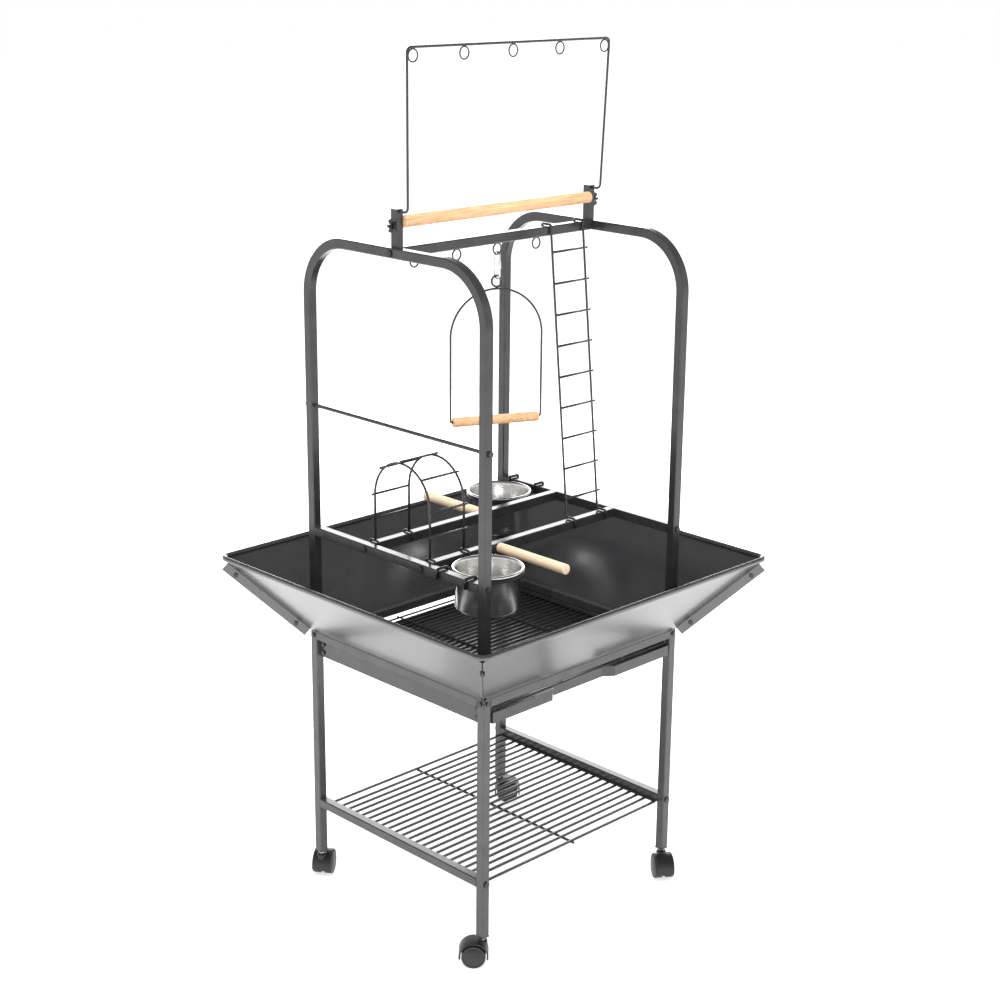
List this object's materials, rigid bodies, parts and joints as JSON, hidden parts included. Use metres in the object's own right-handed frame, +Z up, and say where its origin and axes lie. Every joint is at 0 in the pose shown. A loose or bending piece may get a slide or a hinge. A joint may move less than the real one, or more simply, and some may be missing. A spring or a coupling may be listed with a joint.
{
  "type": "parrot play stand",
  "caption": "Rolling bird play stand: tube frame with perches, ladder, bridge, swing, toy hanger and cups over a seed skirt, pull-out tray and wire shelf.",
  "frame": {"origin": "on the floor, under the centre of the stand's footprint", "axes": "+Z up; -Y is the front, where the tray pulls out; -X is the left side, with the bridge"},
  "size_m": [0.6824, 0.6452, 1.454],
  "materials": {
    "frame_paint": "gloss charcoal powder coat",
    "base_paint": "gloss charcoal powder coat",
    "skirt_paint": "gloss charcoal powder coat",
    "tray_paint": "gloss charcoal powder coat",
    "wire_paint": "gloss charcoal powder coat",
    "black_hardware": "black, semi-gloss",
    "zinc_steel": "bright zinc plate",
    "caster_plastic": "satin black moulded plastic",
    "perch_wood": "plain sanded hardwood",
    "dowel_wood": "plain sanded softwood",
    "cup_steel": "brushed stainless steel"
  },
  "bodies": {
    "stand": {"base_rail_front": "base_paint", "base_rail_left": "base_paint", "base_rail_rear": "base_paint", "base_rail_right": "base_paint", "bridge": "wire_paint", "caster_sockets": "caster_plastic", "cross_rod": "wire_paint", "cup_holder_front": "black_hardware", "cup_holder_rear": "black_hardware", "frame_bolts": "black_hardware", "ladder": "wire_paint", "leg_front_left": "base_paint", "leg_front_right": "base_paint", "leg_rear_left": "base_paint", "leg_rear_right": "base_paint", "low_perch_front": "dowel_wood", "low_perch_rear": "dowel_wood", "perch_posts": "frame_paint", "play_rail_front": "frame_paint", "play_rail_left": "frame_paint", "play_rail_rear": "frame_paint", "play_rail_right": "frame_paint", "sheet_screws": "black_hardware", "shelf_grid": "wire_paint", "shelf_rail_left": "base_paint", "shelf_rail_right": "base_paint", "side_frame_left_front": "frame_paint", "side_frame_left_rear": "frame_paint", "side_frame_right_front": "frame_paint", "side_frame_right_rear": "frame_paint", "skirt_front": "skirt_paint", "skirt_left": "skirt_paint", "skirt_rear": "skirt_paint", "skirt_right": "skirt_paint", "top_bar": "frame_paint", "top_perch": "perch_wood", "toy_hanger": "wire_paint", "tray_runner_left": "tray_paint", "tray_runner_right": "tray_paint", "tube_plugs": "caster_plastic", "wing_nuts": "black_hardware"},
    "tray": {"tray": "tray_paint"},
    "grille": {"grille": "wire_paint"},
    "cup_front": {"cup_front": "cup_steel"},
    "cup_rear": {"cup_rear": "cup_steel"},
    "swing": {"swing_frame": "wire_paint", "swing_perch": "perch_wood", "quick_link": "black_hardware"},
    "caster_front_left": {"caster_hood_front_left": "caster_plastic", "caster_stem_front_left": "zinc_steel"},
    "wheels_front_left": {"caster_wheels_front_left": "caster_plastic"},
    "caster_front_right": {"caster_hood_front_right": "caster_plastic", "caster_stem_front_right": "zinc_steel"},
    "wheels_front_right": {"caster_wheels_front_right": "caster_plastic"},
    "caster_rear_left": {"caster_hood_rear_left": "caster_plastic", "caster_stem_rear_left": "zinc_steel"},
    "wheels_rear_left": {"caster_wheels_rear_left": "caster_plastic"},
    "caster_rear_right": {"caster_hood_rear_right": "caster_plastic", "caster_stem_rear_right": "zinc_steel"},
    "wheels_rear_right": {"caster_wheels_rear_right": "caster_plastic"}
  },
  "joints": [
    {"name": "tray_slide", "type": "slide", "parent": "stand", "child": "tray", "axis": [0, -1, 0], "range_m": [0, 0.38]},
    {"name": "grille_slide", "type": "slide", "parent": "stand", "child": "grille", "axis": [0, -1, 0], "range_m": [0, 0.38]},
    {"name": "cup_front_lift", "type": "slide", "parent": "stand", "child": "cup_front", "axis": [0, 0, 1], "range_m": [0, 0.1]},
    {"name": "cup_rear_lift", "type": "slide", "parent": "stand", "child": "cup_rear", "axis": [0, 0, 1], "range_m": [0, 0.1]},
    {"name": "swing_hinge", "type": "hinge", "parent": "stand", "child": "swing", "pos_m": [0, 0, 1.11704], "axis": [0.9041, -0.4274, 0], "range_deg": [-30, 30]},
    {"name": "caster_swivel_front_left", "type": "hinge", "parent": "stand", "child": "caster_front_left", "pos_m": [-0.223, -0.2055, 0.05], "axis": [0, 0, 1], "continuous": true},
    {"name": "wheel_spin_front_left", "type": "hinge", "parent": "caster_front_left", "child": "wheels_front_left", "pos_m": [-0.2329, -0.1956, 0.02], "axis": [-0.7071, -0.7071, 0], "continuous": true},
    {"name": "caster_swivel_front_right", "type": "hinge", "parent": "stand", "child": "caster_front_right", "pos_m": [0.223, -0.2055, 0.05], "axis": [0, 0, 1], "continuous": true},
    {"name": "wheel_spin_front_right", "type": "hinge", "parent": "caster_front_right", "child": "wheels_front_right", "pos_m": [0.21497, -0.21697, 0.02], "axis": [0.8192, -0.5736, 0], "continuous": true},
    {"name": "caster_swivel_rear_left", "type": "hinge", "parent": "stand", "child": "caster_rear_left", "pos_m": [-0.223, 0.2055, 0.05], "axis": [0, 0, 1], "continuous": true},
    {"name": "wheel_spin_rear_left", "type": "hinge", "parent": "caster_rear_left", "child": "wheels_rear_left", "pos_m": [-0.21153, 0.21353, 0.02], "axis": [-0.5736, 0.8192, 0], "continuous": true},
    {"name": "caster_swivel_rear_right", "type": "hinge", "parent": "stand", "child": "caster_rear_right", "pos_m": [0.223, 0.2055, 0.05], "axis": [0, 0, 1], "continuous": true},
    {"name": "wheel_spin_rear_right", "type": "hinge", "parent": "caster_rear_right", "child": "wheels_rear_right", "pos_m": [0.2329, 0.1956, 0.02], "axis": [0.7071, 0.7071, 0], "continuous": true}
  ]
}
